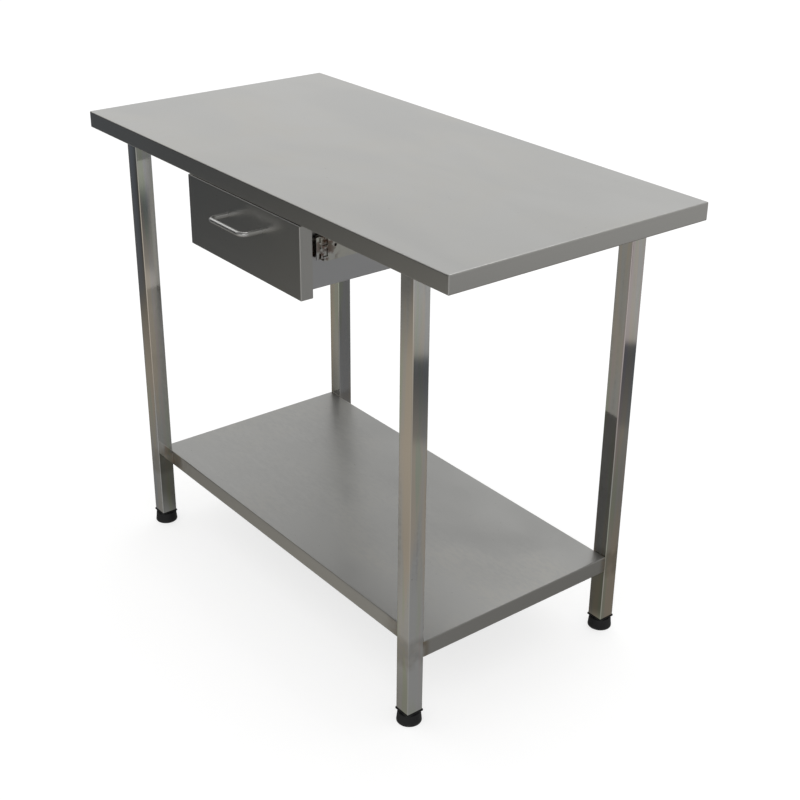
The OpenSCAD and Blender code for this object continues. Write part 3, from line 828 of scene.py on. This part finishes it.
def right_view(tree, look, toward, height):
    """What the metal mirrors from beyond the right-hand end of the table."""
    # a low dark object far behind, seen in the tubes as a band that lies higher towards the camera
    step = tree.math("MULTIPLY_ADD", tree.span(toward, -0.12, -0.09, 1.0, 0.0), -0.0085, height)
    step = tree.math("MULTIPLY_ADD", tree.span(toward, -0.02, 0.01), -0.016, step)
    step = tree.math("MULTIPLY_ADD", tree.span(toward, 0.06, 0.09), -0.041, step)
    band = tree.times(tree.band(step, 0.266, 0.290, 0.003), tree.span(step, 0.262, 0.288, 0.45, 0.95))
    low_back = tree.times(tree.span(toward, -0.12, -0.09, 1.0, 0.0),
                          tree.span(height, 0.285, 0.30, 1.0, 0.0))
    right = dim(tree, low_back, look, tint(WARM_FLOOR, 0.66))
    right = tree.blend(band, right, tint(COOL_BAND, 0.09))
    shaded = tree.times(tree.band(toward, 0.0, 0.06, 0.02), tree.span(height, 0.300, 0.308))
    right = dim(tree, shaded, right, tint(WHITE, 0.52))
    # a plain patch mirrored in the right face of the back left tube
    patch = tree.times(tree.band(toward, 0.008, 0.026, 0.006), tree.band(height, 0.278, 0.335, 0.006))
    return tree.blend(patch, right, (0.155, 0.155, 0.16))


def make_world():
    """Room seen only by glossy rays; the camera sees white and everything else an even grey."""
    world = bpy.data.worlds.new("studio_room")
    world.use_nodes = True
    tree = Tree(world.node_tree)
    split = tree.add("ShaderNodeSeparateXYZ")
    tree.join(tree.add("ShaderNodeTexCoord").outputs["Generated"], split.inputs["Vector"])
    x, y, z = (split.outputs[k] for k in "XYZ")
    height = tree.math("MULTIPLY_ADD", z, 0.5, 0.5)
    rightward = tree.math("MULTIPLY_ADD", x, 0.8, tree.times(y, 0.6))
    toward = tree.math("MULTIPLY_ADD", x, 0.6, tree.times(y, -0.8))
    raised = tree.math("MULTIPLY_ADD", tree.band(toward, -0.125, -0.04, 0.02), 0.055, height)
    look = {name: grey_ramp(tree, raised if name == "front" else height, stops)
            for name, stops in ROOM.items()}
    room = tree.blend(tree.span(rightward, -0.30, 0.30),
                      front_view(tree, look["front"], toward, height),
                      right_view(tree, look["right"], toward, height))
    # something dark high up behind the table, mirrored in the right half of the shelf
    blob = tree.times(tree.band(rightward, -0.24, -0.10, 0.05), tree.span(height, 0.71, 0.74))
    behind = dim(tree, blob, look["back"], tint(WHITE, 0.32))
    room = tree.blend(tree.span(toward, -0.75, -0.35, 1.0, 0.0), room, behind)
    room = tree.blend(tree.span(toward, 0.45, 0.80), room, look["camera_side"])
    path = tree.add("ShaderNodeLightPath")
    seen = tree.blend(path.outputs["Is Glossy Ray"], EVEN_GREY, room)
    seen = tree.blend(path.outputs["Is Camera Ray"], seen, WHITE)
    back = tree.add("ShaderNodeBackground")
    tree.join(seen, back.inputs["Color"])
    tree.join(back.outputs["Background"], tree.add("ShaderNodeOutputWorld").inputs["Surface"])
    bpy.context.scene.world = world


def flat_sheet(name, xs, ys, z):
    """Flat rectangle at height z, linked into the scene."""
    mesh = bpy.data.meshes.new(name)
    corners = [(xs[0], ys[0], 0), (xs[1], ys[0], 0), (xs[1], ys[1], 0), (xs[0], ys[1], 0)]
    mesh.from_pydata(corners, [], [(0, 1, 2, 3)])
    sheet = bpy.data.objects.new(name, mesh)
    sheet.location.z = z
    bpy.context.scene.collection.objects.link(sheet)
    return sheet


def make_floor():
    """Plain studio floor, kept out of the metal's reflections."""
    half = 30.0
    floor = flat_sheet("studio_floor", (-half, half), (-half, half), -0.0004)
    mat, tree, bsdf = shader("floor_paper", 0.0, 0.1)
    soft = tree.noise((1.5, 1.5, 1.5), 2.0)
    tree.join(tree.blend(soft, (0.36, 0.36, 0.355), (0.37, 0.37, 0.37)), bsdf.inputs["Base Color"])
    bsdf.inputs["Roughness"].default_value = 0.9
    bsdf.inputs["Emission Color"].default_value = (*WHITE, 1.0)
    bsdf.inputs["Emission Strength"].default_value = 0.70
    floor.data.materials.append(mat)
    floor.visible_glossy = False


def make_floor_shade():
    """Painted shade: a dark sheet under the table standing in for the shadowed floor, seen only as a
    reflection in the metal.
    """
    low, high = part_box("worktop")
    shade = flat_sheet("floor_shade", (low.x, high.x), (low.y, high.y), -0.0002)
    mat = bpy.data.materials.new("floor_shade")
    mat.use_nodes = True
    tree = Tree(mat.node_tree)
    dark, clear = tree.add("ShaderNodeEmission"), tree.add("ShaderNodeBsdfTransparent")
    # painted shade: the colour of the shadowed floor under the table
    dark.inputs["Color"].default_value = (0.10, 0.10, 0.088, 1.0)
    mid_y = (low.y + high.y) / 2
    edge_x = tree.span(tree.away(tree.axis("X")), high.x - 0.15, high.x - 0.05, 1.0, 0.0)
    half_y = high.y - mid_y
    edge_y = tree.span(tree.away(tree.axis("Y"), mid_y), half_y - 0.10, half_y, 1.0, 0.0)
    mix = tree.add("ShaderNodeMixShader")
    tree.join(tree.times(edge_x, edge_y), mix.inputs["Fac"])
    tree.join(clear.outputs["BSDF"], mix.inputs[1])
    tree.join(dark.outputs["Emission"], mix.inputs[2])
    tree.join(mix.outputs["Shader"], tree.add("ShaderNodeOutputMaterial").inputs["Surface"])
    shade.data.materials.append(mat)
    shade.visible_camera = shade.visible_diffuse = shade.visible_shadow = False


def area_light(name, at, size, power):
    """Square lamp at a point, aimed at the origin."""
    data = bpy.data.lights.new(name, "AREA")
    data.shape, data.size, data.energy = "SQUARE", size, power
    lamp = bpy.data.objects.new(name, data)
    aim = (-Vector(at)).to_track_quat("-Z", "Y").to_matrix().to_4x4()
    lamp.matrix_world = Matrix.Translation(Vector(at)) @ aim
    bpy.context.scene.collection.objects.link(lamp)


make_world()
make_floor()
make_floor_shade()
area_light("overhead_softbox", (-0.8, 1.6, 4.0), 3.0, 27.0)
area_light("right_softbox", (3.4, -2.9, 3.4), 2.6, 15.0)
bpy.context.scene.view_settings.view_transform = "Standard"
